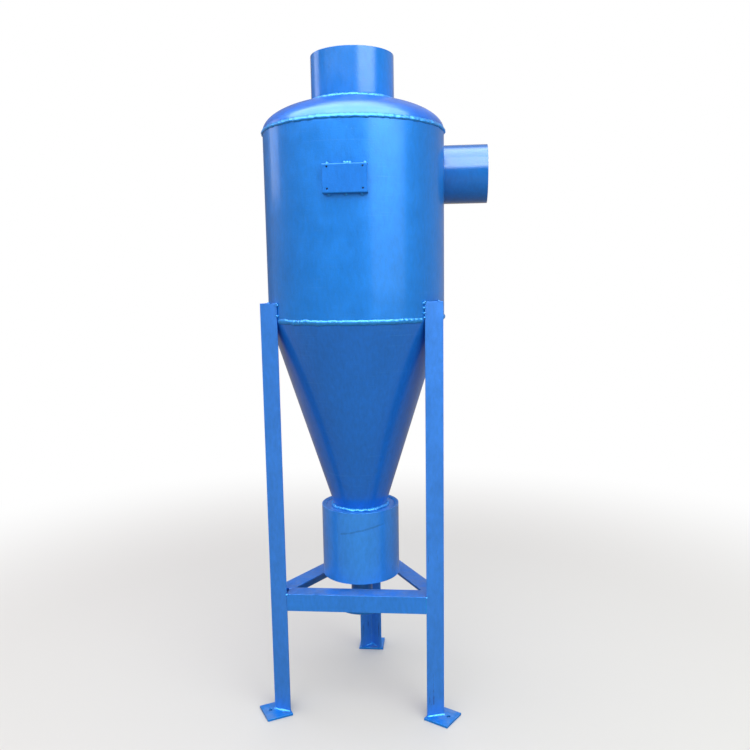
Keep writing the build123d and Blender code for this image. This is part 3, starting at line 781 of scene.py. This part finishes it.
scratch(bpy.data.materials["pot_enamel"])
cone_foot_toes = ((0.0032, 0.0106), (0.0122, ring_sink))
pot_rim_toes = ((0.0003, 0.0040), (-0.0105, ring_sink))
weld_piece("cone_foot_bead", [ring_bead(cone_foot_radius + ring_sink, cover_top - ring_sink, *cone_foot_toes,
                                        crown=0.0032, seed=120, uneven=0.9)], "cone_foot_weld")
pot_wall, rim_step = 0.006, 0.0004
weld_piece("pot_rim_bead", [ring_bead(pot_radius - pot_wall + rim_step, cover_top - ring_sink, *pot_rim_toes,
                                      crown=0.0014, seed=140, uneven=0.9)], "pot_rim_weld")
drain_leg = 0.0062
drain_toes = ((drain_leg, -ring_sink), (ring_sink, -drain_leg))
flange_toes = ((ring_sink, drain_leg), (drain_leg, ring_sink))
drain_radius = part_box("drain_pipe")[1].x
flange_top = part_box("drain_flange")[1].z
bottom_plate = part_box("pot_bottom_plate")[0].z
dress(enamel("drain_enamel", dust={"Amount": 0.2}, rub={"Amount": 0.0}), "drain_pipe", "drain_flange")
weld_piece("drain_bead", [ring_bead(drain_radius - ring_sink, bottom_plate + ring_sink, *drain_toes,
                                    crown=0.0014, seed=160)], "drain_weld")
weld_piece("flange_bead", [ring_bead(drain_radius - ring_sink, flange_top - ring_sink, *flange_toes,
                                     crown=0.0014, seed=170)], "flange_weld")

# Legs: rolled equal angle, heel outwards, with both toes against the shell. Short runs of weld hold each
# toe, and a tack sits on its top end. Low down, the paint is scuffed from handling.
# The legs' paint carries more red than the vessel's: a painted reflection.
dress(enamel("leg_enamel", (0.040, 0.232, 0.770), gloss=0.36, coat=0.3, rubbed_paint=(0.020, 0.038, 0.210),
             dust={"Amount": 0.2}, rub={"Amount": 1.0, "Low": 0.05, "High": 0.66}),
      "leg_left", "leg_right", "leg_back")
leg_low, leg_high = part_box("leg_back")
leg_heel, leg_top = leg_high.y, leg_high.z
angle_width = (leg_high.x - leg_low.x) / sqrt(2)
angle_thickness = 0.006
toe_stitches = {"back": (0.005, 0.030, 0.050), "left": (0.005, 0.041), "right": (0.004, 0.020, 0.037, 0.051)}
stitch_half, stitch_out, stitch_side = 0.0055, 0.2975, 0.0410
end_tack_out, end_tack_side, end_tack_down = 0.3005, 0.0425, 0.0015
for number, (side, turn) in enumerate(leg_turns.items()):
    parts = []
    for half in (-1, 1):
        for place, drop in enumerate(toe_stitches[side]):
            low = at(turn, stitch_out, stitch_side * half, leg_top - drop - stitch_half)
            high = at(turn, stitch_out, stitch_side * half, leg_top - drop + stitch_half)
            on_toe = at(turn, 0.0058, -0.0010 * half, 0)
            on_shell = at(turn, -0.0016, 0.0072 * half, 0)
            parts.append(straight_bead(low, high, on_toe, on_shell, crown=0.0026,
                                       seed=200 + 20 * number + 3 * place + half, uneven=1.4))
        parts.append(dome(at(turn, end_tack_out, end_tack_side * half, leg_top - end_tack_down), (0, 0, 1),
                          radius=0.0055, height=0.0045, seed=700 + 2 * number + half))
    weld_piece(f"leg_stitches_{side}", parts, f"leg_weld_{side}")

# Braces: the same angle cut between the legs, one flange flat on top, butted to the legs' toes. Each has a
# tack at both ends' top corners and an upright weld at one end.
dress(enamel("brace_enamel", (0.030, 0.232, 0.780), gloss=0.34, coat=0.3, dust={"Amount": 0.3},
             rub={"Amount": 0.4, "Low": 0.0, "High": 0.62, "Stretch": (6.0, 6.0, 90.0)}),
      "brace_front", "brace_left", "brace_right")
brace_low, brace_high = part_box("brace_front")
brace_out, brace_half, brace_top = -brace_low.y, brace_high.x, brace_high.z
joint_gap, tack_down, bead_low_end, bead_high_end = 0.0004, 0.002, 0.002, 0.003
brace_turns = (150, 270, 30)
parts = []
for number, turn in enumerate(brace_turns):
    away, across, up = at(turn, 1, 0, 0), at(turn, 0, 1, 0), at(turn, 0, 0, 1)
    for half in (-1, 1):
        joint = away * (brace_out - bead_sink) + across * half * (brace_half + joint_gap)
        parts.append(dome(joint + up * (brace_top - tack_down), away + up, radius=0.0042, height=0.0026,
                          seed=400 + 2 * number + half))
    low = joint + up * (brace_top - angle_width + bead_low_end)
    high = joint + up * (brace_top - bead_high_end)
    on_brace, on_leg = across * -0.0035, across * 0.0030 - away * 0.0009
    parts.append(straight_bead(low, high, on_brace, on_leg, crown=0.0012, seed=410 + number * 6, out=away))
weld_piece("brace_beads", parts)

# Feet: square plates under the legs with one anchor hole each, fillet welded along both outer faces of the
# leg and in its inner corner.
dress(enamel("foot_enamel", (0.006, 0.235, 0.780), gloss=0.36, dust={"Amount": 0.35}, rub={"Amount": 0.3}),
      "foot_left", "foot_right", "foot_back")
foot_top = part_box("foot_back")[1].z
corner_steps, root_fillet, inner_reach, outer_start = 7, 0.006, 0.034, 0.0005
outer_leg, outer_crown, inner_leg, inner_crown, flange_turn = 0.0055, 0.0012, 0.0045, 0.0010, 135
bend = np.radians(np.linspace(-90, -180, corner_steps))
bend = np.c_[np.cos(bend), np.sin(bend)]
outer_run = np.linspace(angle_width, outer_start, stations(angle_width))[:, None]
inner_run = np.linspace(inner_reach, angle_thickness + root_fillet, stations(inner_reach))[:, None]


def angle_path(run, level, corner, aside, leg_bend):
    """A path along both flanges of the angle, in the angle's own axes, and the way that it faces."""
    path = np.concatenate([np.c_[run, 0 * run + level], corner, np.c_[0 * run + level, run][::-1]])
    facing = np.concatenate([0 * run + [[0, aside]], leg_bend, 0 * run + [[aside, 0]]])
    return path, facing


inner_corner = angle_thickness + root_fillet + root_fillet * bend
foot_paths = (angle_path(outer_run, 0.0, 0 * bend, -1, bend) + (outer_leg, outer_crown),
              angle_path(inner_run, angle_thickness, inner_corner, 1, -bend) + (inner_leg, inner_crown))
for number, (side, turn) in enumerate(leg_turns.items()):
    axes = np.array([at(turn + flange_turn, 1, 0, 0), at(turn - flange_turn, 1, 0, 0)])
    heel = at(turn, leg_heel, 0, foot_top - ring_sink)
    parts = []
    for place, (path, facing, leg, crown) in enumerate(foot_paths):
        aside = facing @ axes
        up = np.tile([0, 0, 1.0], (len(path), 1))
        root = heel + path @ axes - aside * bead_sink
        parts.append(lay_bead(root, up * leg, aside * leg, (aside + up) / sqrt(2), crown=crown,
                              seed=300 + 20 * number + 8 * place))
    weld_piece(f"foot_bead_{side}", parts, f"foot_weld_{side}")

# Nameplate bracket: sheet bent back at the top and bottom, with four holes for rivets. Small tacks along
# both bent edges hold it to the shell.
# The bracket's paint is darker than the vessel's: painted shade. Its wide edge gives a painted highlight on
# the bends.
dress(enamel("bracket_enamel", (0.002, 0.160, 0.590), dust={"Amount": 0.0}, rub={"Amount": 0.0}, gloss=0.46,
             coat=0.15, edge={"Width": 0.0022}), "nameplate_bracket")
bracket_middle = (bracket_low.x + bracket_high.x) / 2
top_tacks, bottom_tacks = (-0.054, -0.001, 0.007, 0.015, 0.059), (-0.050, 0.002, 0.050)
tack_off_shell, tack_lean = 0.003, (-0.4, 0.9)
tacks = [(offset, 1) for offset in top_tacks] + [(offset, -1) for offset in bottom_tacks]
parts = []
for number, (offset, side) in enumerate(tacks):
    across = bracket_middle + offset
    edge = bracket_high.z if side > 0 else bracket_low.z
    centre = np.array([across, -sqrt(shell_radius**2 - across**2) - tack_off_shell, edge])
    parts.append(dome(centre, (0, tack_lean[0], tack_lean[1] * side), radius=0.0062, height=0.0068,
                      seed=500 + number))
weld_piece("bracket_tacks", parts)
